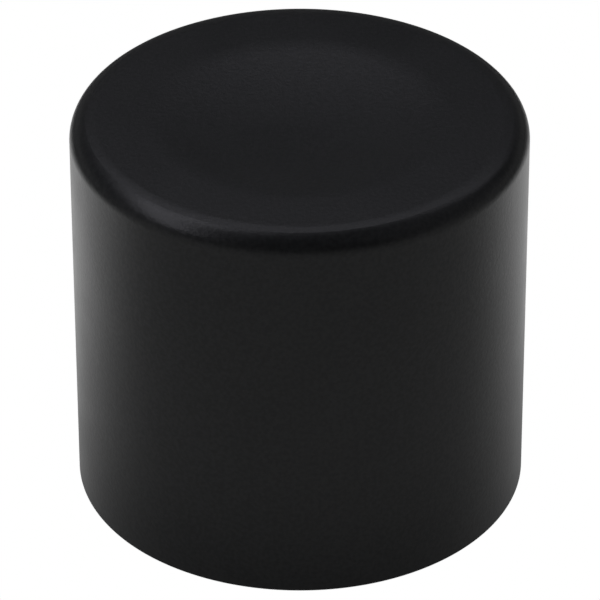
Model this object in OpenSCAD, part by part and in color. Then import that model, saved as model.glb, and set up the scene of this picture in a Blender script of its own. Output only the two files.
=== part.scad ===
// Rock tumbler barrel: a moulded rubber barrel with ten inside flats, shown
// standing on its open end, and the closure that seals its mouth from below.
// All sizes are in millimetres. +Z is up, and the origin is the centre of the
// mouth rim, on the plane that the barrel stands on.

/* [Barrel] */
// Outside diameter of the barrel
barrel_d = 114.3; // [110:0.1:122]
// Height of the barrel, from the mouth rim to the closed end
barrel_h = 104; // [90:0.5:120]
// Radius of the rounded shoulder round the closed end
shoulder_r = 5.7; // [3:0.1:7]
// Radius of the outer edge of the mouth rim
rim_r = 0.6; // [0.2:0.1:1.2]
// Thickness of the closed end
end_t = 7.5; // [5:0.1:10]
// Number of flats round the inside
flat_count = 10; // [8:1:12]
// Wall thickness at the middle of a flat
flat_wall_t = 8.65; // [8:0.05:9.5]

/* [Dish in the closed end] */
// Diameter of the dish
dish_d = 71; // [50:1:90]
// Depth of the dish at its middle
dish_deep = 2; // [0.5:0.1:2.5]

/* [Mouth] */
// Wall thickness round the recess that the closure sits in
recess_wall_t = 6.65; // [5.5:0.05:7.5]
// Depth of the recess, from the rim to the ledge that seats the inner lid
recess_deep = 18.5; // [18.5:0.5:24]
// Width of the ledge
ledge_w = 4; // [3:0.1:5]
// Thickness of the lip behind the ledge
lip_t = 5; // [4.5:0.1:7]

/* [Inner lid] */
// Thickness of the flange that presses on the ledge
flange_t = 4.5; // [4:0.1:5]
// How far the plug reaches into the lip
plug_t = 4; // [3.5:0.1:4.5]
// Clearance round the flange and the plug
rubber_gap = 0.5; // [0.3:0.05:0.8]
// Diameter of the steel plate held in the rubber
plate_d = 42; // [38:1:50]
// Thickness of the steel plate
plate_t = 2; // [1.5:0.1:2.2]
// Width of the rubber that laps over the plate's edge
plate_lap = 4; // [3:0.5:6]

/* [Outer lid] */
// Thickness of the pressed sheet
sheet_t = 1; // [0.8:0.1:1.2]
// Depth of the dome
dome_deep = 3; // [2:0.1:3.2]
// Height of the turned edge
turned_edge_h = 3.5; // [2.5:0.1:5]

/* [Stud, washers and nut] */
// Outside diameter of the stud's thread
stud_d = 7.9; // [7:0.1:8.5]
// Diameter of both washers
washer_d = 20; // [18:0.5:24]
// Thickness of the rubber washer
rubber_washer_t = 1.5; // [1:0.1:1.6]
// Thickness of the steel washer
flat_washer_t = 1.2; // [0.8:0.1:1.3]
// Diameter of the nut over its knurl
nut_d = 25; // [20:0.5:30]
// Thickness of the nut
nut_t = 6; // [5:0.1:6.3]
// Number of grooves in the knurl
knurl_count = 36; // [24:1:48]

/* [Hidden] */
$fn = 96;

// Heights are worked out from the rim (z = 0) up to the closed end, and the
// closure's stack hangs down from the ledge.
barrel_r = barrel_d / 2;
recess_r = barrel_r - recess_wall_t;
throat_r = recess_r - ledge_w;
lip_top_z = recess_deep + lip_t;
lip_chamfer = 1.5;
cavity_flat_r = barrel_r - flat_wall_t;
cavity_corner_r = cavity_flat_r / cos(180 / flat_count);
cavity_top_z = barrel_h - end_t;
dish_r = dish_d / 2;
dish_ball_r = (dish_r * dish_r + dish_deep * dish_deep) / (2 * dish_deep);

flange_z = recess_deep - flange_t;
flange_r = recess_r - rubber_gap;
plug_r = throat_r - rubber_gap;
plug_top_z = recess_deep + plug_t;
plug_edge_r = 1.2;

plate_r = plate_d / 2;
plate_cover_t = 1.5;
plate_z = flange_z + plate_cover_t;
plate_top_z = plate_z + plate_t;

lid_seat_z = flange_z - sheet_t;
lid_dome_z = lid_seat_z - dome_deep;
lid_edge_r = flange_r - 0.5;
lid_seat_w = 5.5;
lid_crown_r = 18;
lid_hole_r = stud_d / 2 + 0.55;

washer_hole_r = stud_d / 2 + 0.35;
rubber_washer_z = lid_dome_z - rubber_washer_t;
flat_washer_z = rubber_washer_z - flat_washer_t;

nut_z = flat_washer_z - nut_t;
nut_bore_r = stud_d / 2 + 0.07;
nut_collar_r = 8.5;
nut_collar_t = 1.5;
nut_bevel = 0.8;
knurl_deep = 0.55;

stud_r = stud_d / 2;
stud_tip_z = nut_z - 0.4;
stud_tip_bevel = 0.7;
stud_head_r = 6.5;
stud_head_t = 1.5;

// The waste outside a rounded corner of radius r: the arc's centre is the origin.
module corner_waste(r) {
    difference() {
        square(r + 1);
        circle(r);
    }
}

// A plain ring, z_low to z_low + h.
module ring(outer_r, inner_r, h, z_low) {
    translate([0, 0, z_low])
    difference() {
        cylinder(r = outer_r, h = h);
        translate([0, 0, -1]) cylinder(r = inner_r, h = h + 2);
    }
}

// Half of the barrel's outside, turned about Z.
module barrel_outside() {
    rotate_extrude()
    difference() {
        square([barrel_r, barrel_h]);
        translate([barrel_r - shoulder_r, barrel_h - shoulder_r])
            corner_waste(shoulder_r);
        translate([barrel_r - rim_r, rim_r])
            mirror([0, 1]) corner_waste(rim_r);
    }
}

// The rubber barrel: one moulding, round outside and flat-sided inside.
module barrel_body() {
    color([0.13, 0.13, 0.14])
    difference() {
        barrel_outside();
        translate([0, 0, barrel_h - dish_deep + dish_ball_r])
            sphere(r = dish_ball_r);
        translate([0, 0, -1])
            cylinder(r = recess_r, h = recess_deep + 1);
        cylinder(r = throat_r, h = lip_top_z + 1);
        translate([0, 0, lip_top_z - lip_chamfer])
            cylinder(r1 = throat_r, r2 = throat_r + lip_chamfer, h = lip_chamfer);
        translate([0, 0, lip_top_z])
            cylinder(r = cavity_corner_r, h = cavity_top_z - lip_top_z, $fn = flat_count);
    }
}

// The rubber inner lid: a flange under the ledge, a plug inside the lip, and a
// pocket that wraps the edge of the steel plate and the stud's head.
module inner_lid() {
    color([0.16, 0.16, 0.17])
    difference() {
        rotate_extrude() {
            translate([0, flange_z]) square([flange_r, flange_t]);
            translate([0, recess_deep])
            difference() {
                square([plug_r, plug_t]);
                translate([plug_r - plug_edge_r, plug_t - plug_edge_r])
                    corner_waste(plug_edge_r);
            }
        }
        translate([0, 0, flange_z - 1])
            cylinder(r = plate_r - plate_lap, h = plate_cover_t + 2);
        translate([0, 0, plate_z])
            cylinder(r = plate_r, h = plate_t);
        translate([0, 0, plate_top_z - 1])
            cylinder(r = stud_head_r, h = stud_head_t + 1);
    }
}

// The steel plate that spreads the stud's pull over the rubber.
module stud_plate() {
    color([0.62, 0.63, 0.65])
    ring(plate_r, stud_r, plate_t, plate_z);
}

// The stud: a flat head behind the plate and a threaded shank below it.
module lid_stud() {
    color([0.70, 0.70, 0.72]) {
        translate([0, 0, stud_tip_z])
            cylinder(r1 = stud_r - stud_tip_bevel, r2 = stud_r, h = stud_tip_bevel);
        translate([0, 0, stud_tip_z + stud_tip_bevel])
            cylinder(r = stud_r, h = plate_top_z - stud_tip_z - stud_tip_bevel);
        translate([0, 0, plate_top_z])
            cylinder(r = stud_head_r, h = stud_head_t);
    }
}

// The pressed steel outer lid: a flat seat, a dome that stands out towards the
// nut, and a turned edge.
module outer_lid() {
    seat_r = lid_edge_r - lid_seat_w - sheet_t;
    color([0.78, 0.79, 0.80])
    rotate_extrude()
    polygon([
        [lid_hole_r, lid_dome_z],
        [lid_crown_r, lid_dome_z],
        [seat_r, lid_seat_z],
        [lid_edge_r - sheet_t, lid_seat_z],
        [lid_edge_r - sheet_t, flange_z - turned_edge_h],
        [lid_edge_r, flange_z - turned_edge_h],
        [lid_edge_r, flange_z],
        [seat_r, flange_z],
        [lid_crown_r, lid_dome_z + sheet_t],
        [lid_hole_r, lid_dome_z + sheet_t]
    ]);
}

// The rubber washer that keeps the nut from shaking loose.
module rubber_washer() {
    color([0.10, 0.10, 0.10])
    ring(washer_d / 2, washer_hole_r, rubber_washer_t, rubber_washer_z);
}

// The steel washer that the nut turns on.
module flat_washer() {
    color([0.74, 0.75, 0.77])
    ring(washer_d / 2, washer_hole_r, flat_washer_t, flat_washer_z);
}

// The nut's blank: a knurled grip with bevelled edges and a plain collar above.
module nut_blank() {
    grip_t = nut_t - nut_collar_t;
    rotate_extrude()
    polygon([
        [0, 0],
        [nut_d / 2 - nut_bevel, 0],
        [nut_d / 2, nut_bevel],
        [nut_d / 2, grip_t - nut_bevel],
        [nut_d / 2 - nut_bevel, grip_t],
        [nut_collar_r, grip_t],
        [nut_collar_r, nut_t],
        [0, nut_t]
    ]);
}

// The knurled nut, which turns on the stud.
module lid_nut() {
    color([0.80, 0.68, 0.40])
    translate([0, 0, nut_z])
    difference() {
        nut_blank();
        translate([0, 0, -1]) cylinder(r = nut_bore_r, h = nut_t + 2);
        for (i = [0 : knurl_count - 1])
            rotate([0, 0, i * 360 / knurl_count])
            translate([nut_d / 2, 0, -1])
                cylinder(r = knurl_deep, h = nut_t + 2, $fn = 4);
    }
}

barrel_body();
inner_lid();
stud_plate();
lid_stud();
outer_lid();
rubber_washer();
flat_washer();
lid_nut();
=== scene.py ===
"""Rock tumbler barrel: the rubber barrel and its screw-down closure.

The barrel stands on its open end. The closure sits up inside the mouth: a rubber
inner lid with a steel plate and a stud in it, a pressed steel outer lid, two
washers and a knurled nut. Every piece is turned from an outline about the
barrel's own axis, which is Z.
"""

import math

import bmesh
import bpy
from mathutils import Matrix, Vector


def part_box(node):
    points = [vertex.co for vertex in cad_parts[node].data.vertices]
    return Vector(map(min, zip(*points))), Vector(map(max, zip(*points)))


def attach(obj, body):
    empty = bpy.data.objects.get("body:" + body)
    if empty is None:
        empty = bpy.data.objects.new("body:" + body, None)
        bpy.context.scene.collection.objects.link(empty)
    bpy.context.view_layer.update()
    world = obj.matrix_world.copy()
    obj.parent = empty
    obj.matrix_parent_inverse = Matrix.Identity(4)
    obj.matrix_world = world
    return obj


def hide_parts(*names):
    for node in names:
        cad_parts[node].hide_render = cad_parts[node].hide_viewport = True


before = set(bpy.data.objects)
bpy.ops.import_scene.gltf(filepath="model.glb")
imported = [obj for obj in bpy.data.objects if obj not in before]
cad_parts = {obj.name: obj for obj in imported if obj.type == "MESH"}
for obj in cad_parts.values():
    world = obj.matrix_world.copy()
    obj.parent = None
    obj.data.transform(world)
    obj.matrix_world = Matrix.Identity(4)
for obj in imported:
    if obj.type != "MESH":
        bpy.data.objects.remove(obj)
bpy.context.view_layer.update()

MM = 0.001
AXIS = Vector((0, 0, 1))
ORIGIN = Vector((0, 0, 0))

# ------------------------------------------------------------------ sizes ----
# Outer sizes come from the frame. The rest are the details of each piece.
_, barrel_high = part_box("barrel_body")
inner_low, inner_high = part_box("inner_lid")
plate_low, plate_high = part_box("stud_plate")
stud_low, stud_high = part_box("lid_stud")
outer_low, outer_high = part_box("outer_lid")
seal_low, seal_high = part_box("rubber_washer")
washer_low, washer_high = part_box("flat_washer")
nut_low, nut_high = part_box("lid_nut")

barrel_r = barrel_high.x
barrel_h = barrel_high.z
SHOULDER_R = 5.2 * MM
CROWN_R = 14 * MM  # the gentler arc that leads from the flat end into the shoulder
CROWN_TURN = math.radians(12)
END_T = 7.5 * MM  # thickness of the closed end
DISH_R = 35.5 * MM
DISH_DEEP = 2 * MM
DISH_EDGE_R = 60 * MM
RECESS_WALL_T = 6.65 * MM  # wall round the recess that holds the closure
LEDGE_W = 4 * MM  # the ledge at the recess's end, which the inner lid bears on
LEDGE_Z = 18.5 * MM
LIP_T = 5 * MM
LIP_CHAMFER = 1.5 * MM
FLAT_COUNT = 10
FLAT_WALL_T = 8.65 * MM
CAVITY_CORNER_R = 8 * MM
CAVITY_END_R = 3 * MM
PLUG_GAP = 0.5 * MM  # clearance between the inner lid's plug and the throat

STUD_R = 3.95 * MM
STUD_HEAD_R = 6.5 * MM
THREAD_PITCH = 1.25 * MM
THREAD_DEEP = 0.62 * MM

FLOOR_GAP = 0.2 * MM  # keeps the mouth rim's face just off the floor

# Divisions round a turned piece. STEPS is a multiple of FLAT_COUNT.
STEPS = 240
PLATE_STEPS = 180
WASHER_STEPS = 144
STUD_STEPS = 48

SEAM_GAP = 1e-7  # points this close at a seam or a pole become one
NEAR_GAP = 1e-6  # the same for the wound thread, and for heights that should agree


# --------------------------------------------------------------- outlines ----
def outline(mesh, corners, closed):
    """A chain of corners in the XZ plane. Each is (radius, height, rounding)."""
    points = [mesh.verts.new((r, 0, z)) for r, z, _ in corners]
    pairs = list(zip(points, points[1:]))
    if closed:
        pairs.append((points[-1], points[0]))
    for a, b in pairs:
        mesh.edges.new((a, b))
    for point, (_, _, rounding) in zip(points, corners):
        if rounding:
            round_corner(mesh, point, rounding)


def round_corner(mesh, point, radius):
    """Rounds one corner of a chain to an arc of that radius."""
    a, b = [(e.other_vert(point).co - point.co) for e in point.link_edges]
    turn = math.pi - a.angle(b)
    degrees_a_segment = 7.5
    bmesh.ops.bevel(
        mesh,
        geom=[point],
        offset=radius * math.tan(turn / 2),
        segments=max(3, round(math.degrees(turn) / degrees_a_segment)),
        profile=0.5,
        affect="VERTICES",
        material=-1,
    )


def turn_about_axis(mesh, steps):
    """Spins what is in the mesh once about Z and closes the seam and the poles."""
    bmesh.ops.spin(
        mesh,
        geom=mesh.verts[:] + mesh.edges[:],
        cent=ORIGIN,
        axis=AXIS,
        angle=math.tau,
        steps=steps,
        use_merge=True,
    )
    bmesh.ops.remove_doubles(mesh, verts=mesh.verts, dist=SEAM_GAP)
    bmesh.ops.recalc_face_normals(mesh, faces=mesh.faces)


def add_object(mesh, name, material):
    """Makes the mesh an object in the scene, with its material."""
    data = bpy.data.meshes.new(name)
    mesh.to_mesh(data)
    mesh.free()
    data.materials.append(material)
    thing = bpy.data.objects.new(name, data)
    bpy.context.scene.collection.objects.link(thing)
    return thing


def finish_piece(mesh, name, body, node, material, sharp=35):
    """Makes the object, smooths it, and seats it on its body."""
    piece = add_object(mesh, name, material)
    piece.data.shade_smooth()
    piece.data.set_sharp_from_angle(angle=math.radians(sharp))
    weighted = piece.modifiers.new("flat_faces_stay_flat", "WEIGHTED_NORMAL")
    weighted.keep_sharp = True
    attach(piece, body)
    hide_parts(node)


# ------------------------------------------------------------- node tools ----
def feed(tree, socket, value):
    """Links another socket to this one, or sets it to a plain number or colour."""
    if isinstance(value, bpy.types.NodeSocket):
        tree.links.new(value, socket)
    else:
        socket.default_value = value


def math_node(tree, operation, a, b=0.0, clamp=False):
    """A Math node fed by sockets or plain numbers."""
    node = tree.nodes.new("ShaderNodeMath")
    node.operation = operation
    node.use_clamp = clamp
    feed(tree, node.inputs[0], a)
    feed(tree, node.inputs[1], b)
    return node.outputs[0]


def multiply(tree, a, b):
    """a times b."""
    return math_node(tree, "MULTIPLY", a, b)


def add(tree, a, b):
    """a plus b."""
    return math_node(tree, "ADD", a, b)


def remap(tree, value, old, new):
    """value from the old (low, high) to the new, clamped and eased."""
    node = tree.nodes.new("ShaderNodeMapRange")
    node.interpolation_type = "SMOOTHSTEP"
    feed(tree, node.inputs["Value"], value)
    for label, number in zip(("From Min", "From Max", "To Min", "To Max"), (*old, *new)):
        feed(tree, node.inputs[label], number)
    return node.outputs["Result"]


def noise(tree, vector, scale, detail, rough=0.5):
    """A noise texture's value at that many waves to the metre."""
    node = tree.nodes.new("ShaderNodeTexNoise")
    feed(tree, node.inputs["Vector"], vector)
    feed(tree, node.inputs["Scale"], scale)
    feed(tree, node.inputs["Detail"], detail)
    feed(tree, node.inputs["Roughness"], rough)
    return node.outputs["Fac"]


def parts_of(tree, vector):
    """A vector's X, Y and Z."""
    split = tree.nodes.new("ShaderNodeSeparateXYZ")
    feed(tree, split.inputs[0], vector)
    return split.outputs


def object_place(tree):
    """The place on the piece, in the barrel's own coordinates."""
    return tree.nodes.new("ShaderNodeTexCoord").outputs["Object"]


def from_axis(tree, x, y):
    """How far a place is from the barrel's axis."""
    squares = add(tree, multiply(tree, x, x), multiply(tree, y, y))
    return math_node(tree, "SQRT", squares)


def new_group(name, inputs, outputs):
    """An empty shader group. inputs are (name, default); outputs are names."""
    group = bpy.data.node_groups.new(name, "ShaderNodeTree")
    for label, default in inputs:
        socket = group.interface.new_socket(
            name=label, in_out="INPUT", socket_type="NodeSocketFloat"
        )
        socket.default_value = default
    for label in outputs:
        group.interface.new_socket(
            name=label, in_out="OUTPUT", socket_type="NodeSocketFloat"
        )
    entry = group.nodes.new("NodeGroupInput")
    leave = group.nodes.new("NodeGroupOutput")
    return group, entry.outputs, leave.inputs


# --------------------------------------------------------- shared effects ----
def moulded_grain_group():
    """The skin that a blasted mould leaves: fine grain, pebbles, a slow mottle. Its tone
    is painted shade, darker in the pebbles' hollows, with the random mottle mixed in.
    """
    group, given, result = new_group(
        "moulded_grain",
        [("Grain Scale", 2600.0), ("Mottle Scale", 55.0), ("Mottle Share", 0.2)],
        ["Height", "Tone And Pit Shade"],
    )
    place = object_place(group)
    pebble_coarseness = 0.37  # the pebbles' waves to the metre, against the grain's
    pebble_height = 1.5
    fine = noise(group, place, given["Grain Scale"], detail=2.0, rough=0.55)
    pebble_scale = multiply(group, given["Grain Scale"], pebble_coarseness)
    pebbles = noise(group, place, pebble_scale, detail=1.0)
    mottle = noise(group, place, given["Mottle Scale"], detail=4.0, rough=0.6)
    height = add(group, fine, multiply(group, pebbles, pebble_height))
    # The tone follows the pebbles' height, so their hollows come out darker: painted
    # shade, mixed with a random mottle.
    pebble_share = math_node(group, "SUBTRACT", 1.0, given["Mottle Share"])
    mixed = add(
        group,
        multiply(group, pebbles, pebble_share),
        multiply(group, mottle, given["Mottle Share"]),
    )
    feed(group, result["Height"], height)
    feed(group, result["Tone And Pit Shade"], remap(group, mixed, (0.3, 0.7), (0.0, 1.0)))
    return group


def lathe_marks_group():
    """Fine rings about the axis, as spinning or turning leaves on metal."""
    group, given, result = new_group(
        "lathe_marks", [("Ring Scale", 2400.0), ("Waver", 0.05)], ["Height", "Streak"]
    )
    place = object_place(group)
    x, y, z = parts_of(group, place)
    waver_reach = 0.01
    streak_coarseness = 0.12  # the streaks' waves to the metre, against the rings'
    drift = noise(group, place, scale=90.0, detail=1.0)
    waver = multiply(group, multiply(group, drift, given["Waver"]), waver_reach)
    across_rings = group.nodes.new("ShaderNodeCombineXYZ")
    feed(group, across_rings.inputs["X"], add(group, from_axis(group, x, y), waver))
    feed(group, across_rings.inputs["Z"], z)
    along = across_rings.outputs[0]
    streak_scale = multiply(group, given["Ring Scale"], streak_coarseness)
    rings = noise(group, along, given["Ring Scale"], detail=3.0, rough=0.7)
    streaks = noise(group, along, streak_scale, detail=2.0, rough=0.6)
    feed(group, result["Height"], rings)
    feed(group, result["Streak"], streaks)
    return group


def handling_group():
    """Soft smudges and a little dry dust, thicker on faces that look up."""
    group, given, result = new_group(
        "handling", [("Smudge Scale", 38.0), ("Dust Amount", 0.3)], ["Smudge", "Dust"]
    )
    place = object_place(group)
    least_dust = 0.15  # the share that clings to upright and lower faces
    finger_marks = noise(group, place, given["Smudge Scale"], detail=5.0, rough=0.62)
    motes = noise(group, place, scale=900.0, detail=2.0, rough=0.7)
    specks = remap(group, motes, (0.62, 0.78), (0.0, 1.0))
    facing = group.nodes.new("ShaderNodeNewGeometry").outputs["Normal"]
    up = math_node(group, "MAXIMUM", parts_of(group, facing)["Z"], least_dust)
    settled = multiply(group, specks, up)
    dust = math_node(group, "MULTIPLY", settled, given["Dust Amount"], clamp=True)
    feed(group, result["Smudge"], remap(group, finger_marks, (0.42, 0.68), (0.0, 1.0)))
    feed(group, result["Dust"], dust)
    return group


MOULDED_GRAIN = moulded_grain_group()
LATHE_MARKS = lathe_marks_group()
HANDLING = handling_group()


def place_group(tree, group, **values):
    """Adds a shared effect to a material with its own values."""
    node = tree.nodes.new("ShaderNodeGroup")
    node.node_tree = group
    for label, value in values.items():
        node.inputs[label.replace("_", " ")].default_value = value
    return node.outputs


# -------------------------------------------------------------- materials ----
DRY_DUST = (0.16, 0.155, 0.15, 1)
DUST_ROUGHENS = 0.4
RUBBER_IOR = 1.5


def new_material(name):
    """A material, its node tree and its Principled shader's inputs."""
    material = bpy.data.materials.new(name)
    material.use_nodes = True
    shader = material.node_tree.nodes["Principled BSDF"]
    return material, material.node_tree, shader.inputs


def blend_colour(tree, amount, low, high):
    """Mixes two colours by a mask. low is a plain colour or a socket."""
    node = tree.nodes.new("ShaderNodeMix")
    node.data_type = "RGBA"
    feed(tree, node.inputs["Factor"], amount)
    feed(tree, node.inputs["A"], low)
    feed(tree, node.inputs["B"], high)
    return node.outputs["Result"]


def bump(tree, height, strength, distance):
    """A height as a change of the surface's normal."""
    node = tree.nodes.new("ShaderNodeBump")
    feed(tree, node.inputs["Strength"], strength)
    feed(tree, node.inputs["Distance"], distance)
    feed(tree, node.inputs["Height"], height)
    return node.outputs["Normal"]


def moulded_rubber(name, dark, light, rough_low, rough_high, grain, dust):
    """Black rubber as it leaves the mould: fine grain, satin, faintly mottled, with
    painted shade in the grain's hollows.
    """
    material, tree, shader = new_material(name)
    grained = place_group(tree, MOULDED_GRAIN, Grain_Scale=grain)
    handled = place_group(tree, HANDLING, Dust_Amount=dust)
    # Base colour from the grain's tone: a random mottle plus painted shade in the pebbles'
    # hollows.
    tone_and_pit_shade = blend_colour(tree, grained["Tone And Pit Shade"], dark, light)
    feed(tree, shader["Base Color"], blend_colour(tree, handled["Dust"], tone_and_pit_shade, DRY_DUST))
    rubbed = remap(tree, handled["Smudge"], (0.0, 1.0), (rough_high, rough_low))
    dusty = multiply(tree, handled["Dust"], DUST_ROUGHENS)
    feed(tree, shader["Roughness"], math_node(tree, "ADD", rubbed, dusty, clamp=True))
    relief = bump(tree, grained["Height"], strength=0.35, distance=0.08 * MM)
    feed(tree, shader["Normal"], relief)
    feed(tree, shader["IOR"], RUBBER_IOR)
    return material


def turned_metal(name, dull, bright, rough_low, rough_high, rings, smudge):
    """Metal with fine rings about the axis and finger smudges."""
    material, tree, shader = new_material(name)
    marks = place_group(tree, LATHE_MARKS, Ring_Scale=rings)
    handled = place_group(tree, HANDLING, Smudge_Scale=smudge)
    feed(tree, shader["Base Color"], blend_colour(tree, marks["Streak"], dull, bright))
    rough = remap(tree, handled["Smudge"], (0.0, 1.0), (rough_low, rough_high))
    feed(tree, shader["Roughness"], rough)
    relief = bump(tree, marks["Height"], strength=0.12, distance=0.03 * MM)
    feed(tree, shader["Normal"], relief)
    feed(tree, shader["Metallic"], 1.0)
    return material


BARREL_RUBBER = moulded_rubber(
    "barrel_rubber",
    dark=(0.0172, 0.0182, 0.0190, 1),
    light=(0.0298, 0.0310, 0.0318, 1),
    rough_low=0.325,
    rough_high=0.355,
    grain=2600.0,
    dust=0.05,
)
LID_RUBBER = moulded_rubber(
    "lid_rubber",
    dark=(0.029, 0.029, 0.0295, 1),
    light=(0.037, 0.037, 0.0375, 1),
    rough_low=0.42,
    rough_high=0.52,
    grain=1900.0,
    dust=0.3,
)
LID_STEEL = turned_metal(
    "lid_steel",
    dull=(0.60, 0.61, 0.62, 1),
    bright=(0.74, 0.745, 0.75, 1),
    rough_low=0.26,
    rough_high=0.40,
    rings=2600.0,
    smudge=60.0,
)
ZINC_STEEL = turned_metal(
    "zinc_steel",
    dull=(0.40, 0.41, 0.425, 1),
    bright=(0.52, 0.53, 0.54, 1),
    rough_low=0.32,
    rough_high=0.46,
    rings=1600.0,
    smudge=240.0,
)
NUT_BRASS = turned_metal(
    "nut_brass",
    dull=(0.55, 0.38, 0.15, 1),
    bright=(0.68, 0.49, 0.22, 1),
    rough_low=0.20,
    rough_high=0.36,
    rings=3000.0,
    smudge=220.0,
)


# ----------------------------------------------------------------- pieces ----
def cavity_factor(angle):
    """How far the cavity's wall stands out at an angle, against the flats' distance.

    The section is a polygon of FLAT_COUNT sides with rounded corners, so the ray
    from the axis meets either a flat or a corner's arc.
    """
    half = math.pi / FLAT_COUNT
    flat = barrel_r - FLAT_WALL_T
    centre = (flat - CAVITY_CORNER_R) / math.cos(half)
    off_flat = (angle + half) % (2 * half) - half
    off_corner = half - abs(off_flat)
    arc_half = math.atan2(
        CAVITY_CORNER_R * math.sin(half), centre + CAVITY_CORNER_R * math.cos(half)
    )
    if off_corner > arc_half:
        return 1 / math.cos(off_flat)
    reach = centre * math.cos(off_corner) + math.sqrt(
        CAVITY_CORNER_R**2 - (centre * math.sin(off_corner)) ** 2
    )
    return reach / flat


def dish_curve():
    """The dish in the closed end, from its middle to short of its edge: part of a ball."""
    ball_r = (DISH_R**2 + DISH_DEEP**2) / (2 * DISH_DEEP)
    half = math.asin(DISH_R / ball_r)
    bottom = barrel_h - DISH_DEEP
    turns = [share * half for share in (0, 0.15, 0.3, 0.45, 0.6, 0.75, 0.88)]
    return [
        (ball_r * math.sin(turn), bottom + ball_r * (1 - math.cos(turn)), 0)
        for turn in turns
    ]


def barrel_moulding():
    """The barrel: dished end, rounded shoulder, straight wall, mouth and cavity."""
    recess_r = barrel_r - RECESS_WALL_T
    throat_r = recess_r - LEDGE_W
    cavity_r = barrel_r - FLAT_WALL_T
    lip_top = LEDGE_Z + LIP_T
    ceiling = barrel_h - END_T
    crown_half = CROWN_R * math.tan(CROWN_TURN / 2)
    shoulder_half = SHOULDER_R * math.tan((math.pi / 2 - CROWN_TURN) / 2)
    slope = crown_half + shoulder_half
    outer_rim = 0.6 * MM
    inner_rim = 0.8 * MM
    ledge_root = 0.4 * MM
    ledge_edge = 0.5 * MM
    mesh = bmesh.new()
    outline(
        mesh,
        dish_curve()
        + [
            (DISH_R, barrel_h, DISH_EDGE_R),
            (barrel_r - slope * math.cos(CROWN_TURN), barrel_h, CROWN_R),
            (barrel_r, barrel_h - slope * math.sin(CROWN_TURN), SHOULDER_R),
            (barrel_r, 0, outer_rim),
            (recess_r, 0, inner_rim),
            (recess_r, LEDGE_Z, ledge_root),
            (throat_r, LEDGE_Z, ledge_edge),
            (throat_r, lip_top - LIP_CHAMFER, 0),
            (throat_r + LIP_CHAMFER, lip_top, 0),
            (cavity_r, lip_top, 0),
            (cavity_r, ceiling, CAVITY_END_R),
            (0, ceiling, 0),
        ],
        closed=False,
    )
    turn_about_axis(mesh, STEPS)
    near = 0.01 * MM
    for point in mesh.verts:
        radius = point.co.xy.length
        in_cavity = lip_top - near < point.co.z < ceiling + near
        on_lip_edge = point.co.z < lip_top + near and radius < cavity_r - near
        if in_cavity and radius < cavity_r + near and not on_lip_edge:
            point.co.xy *= cavity_factor(math.atan2(point.co.y, point.co.x))
    finish_piece(
        mesh, "barrel_moulding", "barrel", "barrel_body", BARREL_RUBBER
    )


def inner_lid_rubber():
    """The rubber lid: flange, plug, and the pocket round the plate and stud."""
    plug_r = barrel_r - RECESS_WALL_T - LEDGE_W - PLUG_GAP
    plate_r = plate_high.x
    mouth_r = plate_r - 4 * MM
    boss_r = 13 * MM
    rim_r = plug_r - 7 * MM
    sunk_by = 1 * MM
    sunk = inner_high.z - sunk_by
    soft = 0.6 * MM
    plug_edge = 1.2 * MM
    flange_root = 0.3 * MM
    mouth_edge = 0.4 * MM
    mesh = bmesh.new()
    outline(
        mesh,
        [
            (0, inner_high.z, 0),
            (boss_r, inner_high.z, soft),
            (boss_r + sunk_by, sunk, soft),
            (rim_r - sunk_by, sunk, soft),
            (rim_r, inner_high.z, soft),
            (plug_r, inner_high.z, plug_edge),
            (plug_r, LEDGE_Z, flange_root),
            (inner_high.x, LEDGE_Z, soft),
            (inner_high.x, inner_low.z, soft),
            (mouth_r, inner_low.z, mouth_edge),
            (mouth_r, plate_low.z, 0),
            (plate_r, plate_low.z, 0),
            (plate_r, plate_high.z, 0),
            (STUD_HEAD_R, plate_high.z, 0),
            (STUD_HEAD_R, stud_high.z, 0),
            (0, stud_high.z, 0),
        ],
        closed=False,
    )
    turn_about_axis(mesh, STEPS)
    finish_piece(
        mesh, "inner_lid_rubber", "inner_lid", "inner_lid", LID_RUBBER
    )


def stud_plate_disc():
    """The steel plate in the rubber lid."""
    edge = 0.3 * MM
    mesh = bmesh.new()
    outline(
        mesh,
        [
            (STUD_R, plate_low.z, 0),
            (plate_high.x, plate_low.z, edge),
            (plate_high.x, plate_high.z, edge),
            (STUD_R, plate_high.z, 0),
        ],
        closed=True,
    )
    turn_about_axis(mesh, PLATE_STEPS)
    finish_piece(
        mesh, "stud_plate_disc", "inner_lid", "stud_plate", ZINC_STEEL
    )


def cut_level(mesh, height, keep_above):
    """Cuts the mesh at a height, drops one side and closes the cut."""
    bmesh.ops.bisect_plane(
        mesh,
        geom=mesh.verts[:] + mesh.edges[:] + mesh.faces[:],
        dist=SEAM_GAP,
        plane_co=(0, 0, height),
        plane_no=AXIS,
        clear_inner=keep_above,
        clear_outer=not keep_above,
    )
    open_edges = [e for e in mesh.edges if e.is_boundary and at_height(e, height)]
    bmesh.ops.contextual_create(mesh, geom=open_edges)


def at_height(edge, height):
    """Whether both ends of an edge lie at that height."""
    return all(abs(v.co.z - height) < NEAR_GAP for v in edge.verts)


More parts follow.
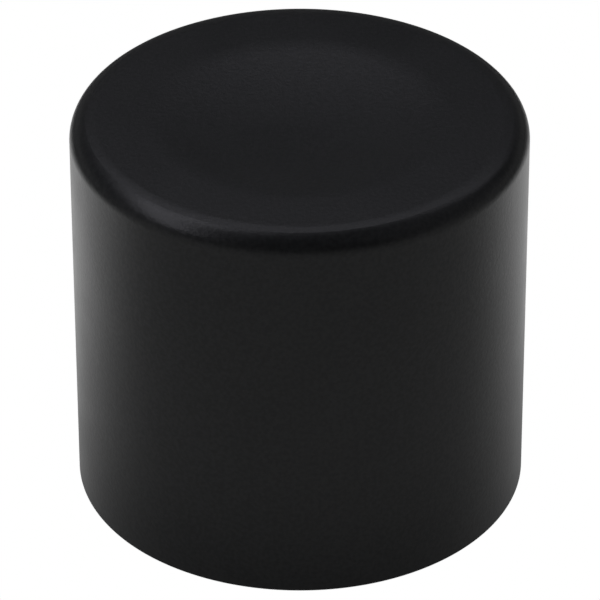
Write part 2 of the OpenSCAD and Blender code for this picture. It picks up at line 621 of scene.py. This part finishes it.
def wound_thread():
    """The stud's thread, wound about Z past both ends and then cut to length."""
    turns = math.ceil((plate_low.z - stud_low.z) / THREAD_PITCH) + 3
    start = stud_low.z - 1.5 * THREAD_PITCH
    root_r = STUD_R - THREAD_DEEP
    tooth = (
        (0, root_r),
        (0.12, root_r),
        (0.46, STUD_R),
        (0.64, STUD_R),
        (0.98, root_r),
        (1, root_r),
    )
    mesh = bmesh.new()
    outline(
        mesh,
        [(radius, start + share * THREAD_PITCH, 0) for share, radius in tooth],
        closed=False,
    )
    bmesh.ops.spin(
        mesh,
        geom=mesh.verts[:] + mesh.edges[:],
        cent=ORIGIN,
        axis=AXIS,
        dvec=AXIS * (THREAD_PITCH / STUD_STEPS),
        angle=math.tau * turns,
        steps=STUD_STEPS * turns,
    )
    bmesh.ops.remove_doubles(mesh, verts=mesh.verts, dist=NEAR_GAP)
    into_plate = 0.3 * MM
    cut_level(mesh, stud_low.z, keep_above=True)
    cut_level(mesh, plate_low.z + into_plate, keep_above=False)
    tip_chamfer = 0.7 * MM
    for point in mesh.verts:
        above_tip = point.co.z - stud_low.z
        limit = STUD_R - max(0, tip_chamfer - above_tip)
        if point.co.xy.length > limit:
            point.co.xy *= limit / point.co.xy.length
    bmesh.ops.recalc_face_normals(mesh, faces=mesh.faces)
    return mesh


def lid_stud_thread():
    """The stud: its thread, and a neck in the plate with a flat head over it."""
    neck_r = STUD_R - 0.05 * MM
    head_root = 0.2 * MM
    head_edge = 0.3 * MM
    head = bmesh.new()
    outline(
        head,
        [
            (0, plate_low.z, 0),
            (neck_r, plate_low.z, 0),
            (neck_r, plate_high.z, 0),
            (STUD_HEAD_R, plate_high.z, head_root),
            (STUD_HEAD_R, stud_high.z, head_edge),
            (0, stud_high.z, 0),
        ],
        closed=False,
    )
    turn_about_axis(head, STUD_STEPS)
    carrier = bpy.data.meshes.new("stud_head")
    head.to_mesh(carrier)
    head.free()
    mesh = wound_thread()
    mesh.from_mesh(carrier)
    bpy.data.meshes.remove(carrier)
    finish_piece(
        mesh, "lid_stud_thread", "inner_lid", "lid_stud", ZINC_STEEL
    )


def outer_lid_pressing():
    """The pressed lid: a flat seat, a dome towards the nut, and a turned edge."""
    sheet = 1 * MM
    edge_r = outer_high.x
    seat_r = edge_r - 6.5 * MM
    crown_r = 18 * MM
    hole_r = STUD_R + 0.55 * MM
    dome = outer_low.z
    seat = outer_high.z - sheet
    lip = outer_high.z - 3.5 * MM
    hole_edge = 0.15 * MM
    bend = 6 * MM
    turn_inside = 0.8 * MM
    turn_outside = 1.8 * MM
    lip_edge = 0.45 * MM
    mesh = bmesh.new()
    outline(
        mesh,
        [
            (hole_r, dome, hole_edge),
            (crown_r, dome, bend),
            (seat_r, seat, bend),
            (edge_r - sheet, seat, turn_inside),
            (edge_r - sheet, lip, lip_edge),
            (edge_r, lip, lip_edge),
            (edge_r, outer_high.z, turn_outside),
            (seat_r, outer_high.z, bend),
            (crown_r, dome + sheet, bend),
            (hole_r, dome + sheet, hole_edge),
        ],
        closed=True,
    )
    turn_about_axis(mesh, STEPS)
    finish_piece(
        mesh, "outer_lid_pressing", "outer_lid", "outer_lid", LID_STEEL
    )


def washer(name, node, low, high, edge, material):
    """A flat ring with softened edges."""
    hole_r = STUD_R + 0.35 * MM
    mesh = bmesh.new()
    outline(
        mesh,
        [
            (hole_r, low.z, edge / 2),
            (high.x, low.z, edge),
            (high.x, high.z, edge),
            (hole_r, high.z, edge / 2),
        ],
        closed=True,
    )
    turn_about_axis(mesh, WASHER_STEPS)
    finish_piece(mesh, name, "outer_lid", node, material)


def lid_nut_knurled():
    """The nut: a straight-knurled grip with bevelled edges and a plain collar."""
    grip_r = nut_high.x
    bore_r = STUD_R + 0.07 * MM
    collar_r = 8.5 * MM
    grip_top = nut_high.z - 1.5 * MM
    bevel = 0.8 * MM
    grip_edge = 0.2 * MM
    collar_root = 0.3 * MM
    collar_edge = 0.25 * MM
    low_chamfer = 0.5 * MM
    high_chamfer = 0.4 * MM
    mesh = bmesh.new()
    outline(
        mesh,
        [
            (bore_r + low_chamfer, nut_low.z, 0),
            (grip_r - bevel, nut_low.z, grip_edge),
            (grip_r, nut_low.z + bevel, grip_edge),
            (grip_r, grip_top - bevel, grip_edge),
            (grip_r - bevel, grip_top, grip_edge),
            (collar_r, grip_top, collar_root),
            (collar_r, nut_high.z, collar_edge),
            (bore_r + high_chamfer, nut_high.z, 0),
            (bore_r, nut_high.z - high_chamfer, 0),
            (bore_r, nut_low.z + low_chamfer, 0),
        ],
        closed=True,
    )
    groove_count = 36
    groove_deep = 0.5 * MM
    groove_steps = 6
    groove_taper = 1.5  # so the groove takes two thirds of its share of the turn
    turn_about_axis(mesh, groove_count * groove_steps)
    half = math.pi / groove_count
    for point in mesh.verts:
        angle = math.atan2(point.co.y, point.co.x)
        off_groove = abs((angle + half) % (2 * half) - half) / half
        floor_r = grip_r - groove_deep * max(0, 1 - off_groove * groove_taper)
        if point.co.z < grip_top + NEAR_GAP and point.co.xy.length > floor_r:
            point.co.xy *= floor_r / point.co.xy.length
    finish_piece(
        mesh, "lid_nut_knurled", "nut", "lid_nut", NUT_BRASS, sharp=28
    )


barrel_moulding()
inner_lid_rubber()
stud_plate_disc()
lid_stud_thread()
outer_lid_pressing()
washer(
    "rubber_washer_ring", "rubber_washer",
    seal_low, seal_high, 0.35 * MM, LID_RUBBER,
)
washer(
    "flat_washer_ring", "flat_washer",
    washer_low, washer_high, 0.18 * MM, ZINC_STEEL,
)
lid_nut_knurled()


# ----------------------------------------------------------------- studio ----
LAMP_COLOUR = (0.97, 0.965, 1.06)
WHITE = (1, 1, 1, 1)


def eye_or_mirror(tree, eye, mirrored, out):
    """Shows one shader to the eye and the other to whatever mirrors it."""
    pick = tree.nodes.new("ShaderNodeMixShader")
    light_path = tree.nodes.new("ShaderNodeLightPath")
    feed(tree, pick.inputs[0], light_path.outputs["Is Camera Ray"])
    feed(tree, pick.inputs[1], mirrored.outputs[0])
    feed(tree, pick.inputs[2], eye.outputs[0])
    feed(tree, out.inputs["Surface"], pick.outputs[0])


def floor_painted_light():
    """White to the eye. To what mirrors it, the floor glows with painted light, dim in
    front and bright behind, with painted shade at the barrel's foot.
    """
    material = bpy.data.materials.new("floor_painted_light")
    material.use_nodes = True
    tree = material.node_tree
    tree.nodes.clear()
    out = tree.nodes.new("ShaderNodeOutputMaterial")
    seen = tree.nodes.new("ShaderNodeEmission")
    feed(tree, seen.inputs["Strength"], 1.0)
    mirrored = tree.nodes.new("ShaderNodeEmission")
    x, y, _ = parts_of(tree, object_place(tree))
    front_glow = 0.24
    back_glow = 0.98
    lean = -0.08  # turns the line between front and back a little about Z
    painted_shade_w = 0.05  # width of the painted shade round the barrel's foot
    # Painted light: for mirrored rays the floor glows, dim in front and bright behind.
    behind = remap(tree, add(tree, y, multiply(tree, x, lean)), (-0.055, 0.11), (0.0, 1.0))
    reach = from_axis(tree, x, y)
    front_part = multiply(tree, math_node(tree, "SUBTRACT", 1.0, behind), front_glow)
    back_fade = remap(tree, reach, (0.16, 0.55), (back_glow, 0.0))
    painted_light_sweep = add(tree, front_part, multiply(tree, behind, back_fade))
    # Painted shade: darker in front of the barrel and round its foot.
    painted_front_shade = remap(tree, y, (-0.06, 0.0), (0.6, 0.95))
    painted_foot_shade = remap(tree, reach, (barrel_r, barrel_r + painted_shade_w), (painted_front_shade, 1.0))
    feed(tree, mirrored.inputs["Strength"], multiply(tree, painted_light_sweep, painted_foot_shade))
    eye_or_mirror(tree, seen, mirrored, out)
    return material


def pale_floor():
    """A plain pale floor that the barrel stands on."""
    mesh = bmesh.new()
    bmesh.ops.create_grid(mesh, x_segments=1, y_segments=1, size=6)
    bmesh.ops.translate(mesh, verts=mesh.verts, vec=-AXIS * FLOOR_GAP)
    floor = add_object(mesh, "floor", floor_painted_light())


def studio_world():
    """White to the eye. The room is dark in front and overhead, dim behind."""
    world = bpy.data.worlds.new("studio")
    bpy.context.scene.world = world
    world.use_nodes = True
    tree = world.node_tree
    tree.nodes.clear()
    out = tree.nodes.new("ShaderNodeOutputWorld")
    seen = tree.nodes.new("ShaderNodeBackground")
    feed(tree, seen.inputs["Color"], WHITE)
    feed(tree, seen.inputs["Strength"], 1.0)
    room = tree.nodes.new("ShaderNodeBackground")
    feed(tree, room.inputs["Color"], WHITE)
    low_glow = 0.216
    high_glow = 0.016
    behind_glow = 0.064
    _, y, z = parts_of(tree, tree.nodes.new("ShaderNodeTexCoord").outputs["Generated"])
    around = remap(tree, z, (0.0, 0.22), (low_glow, high_glow))
    behind = remap(tree, y, (-0.4, 0.4), (0.0, 1.0))
    below = remap(tree, z, (0.2, 0.48), (behind_glow, 0.0))
    feed(tree, room.inputs["Strength"], add(tree, around, multiply(tree, behind, below)))
    eye_or_mirror(tree, seen, room, out)


def soft_box(name, azimuth, elevation, roll, width, height, glow):
    """A soft box a metre from the barrel's middle, facing it.

    Azimuth 0 is in front and 90 to the right. glow is how bright its face is.
    """
    turn, lift, tilt = (math.radians(v) for v in (azimuth, elevation, roll))
    away = Vector(
        (math.sin(turn) * math.cos(lift), -math.cos(turn) * math.cos(lift), math.sin(lift))
    )
    level = Vector((math.cos(turn), math.sin(turn), 0))
    across = level * math.cos(tilt) + away.cross(level) * math.sin(tilt)
    light = bpy.data.lights.new(name, "AREA")
    light.shape = "RECTANGLE"
    light.size = width
    light.size_y = height
    light.energy = glow * math.pi * width * height
    light.color = LAMP_COLOUR
    lamp = bpy.data.objects.new(name, light)
    bpy.context.scene.collection.objects.link(lamp)
    axes = Matrix((across, away.cross(across), away)).transposed()
    lamp.rotation_euler = axes.to_euler()
    lamp.location = away + AXIS * (barrel_h / 2)


def studio_camera():
    """A long lens in front of the barrel, looking down on it."""
    elevation = math.radians(33.44)
    distance = 1.2618
    roll = math.radians(-0.13)
    middle = Vector((0, 0, barrel_h / 2))
    back = Vector((0, -math.cos(elevation), math.sin(elevation)))
    up = Vector((0, math.sin(elevation), math.cos(elevation)))
    drop = 0.0375 * barrel_r  # sets the barrel a little high in the picture
    aim = middle - up * drop
    camera = bpy.data.cameras.new("camera")
    camera.sensor_width = 36
    camera.lens = 298.8
    view = bpy.data.objects.new("camera", camera)
    bpy.context.scene.collection.objects.link(view)
    turn = (-back).to_track_quat("-Z", "Y").to_matrix() @ Matrix.Rotation(roll, 3, "Z")
    view.location = aim + back * distance
    view.rotation_euler = turn.to_euler()
    bpy.context.scene.camera = view


pale_floor()
studio_world()
soft_box("key", azimuth=266, elevation=53, roll=-36, width=1.4, height=0.31, glow=1.65)
soft_box("back", azimuth=168, elevation=51, roll=0, width=1.0, height=0.24, glow=0.74)
soft_box("side", azimuth=80, elevation=40, roll=0, width=1.2, height=1.2, glow=0.085)
studio_camera()
bpy.context.scene.view_settings.view_transform = "Standard"
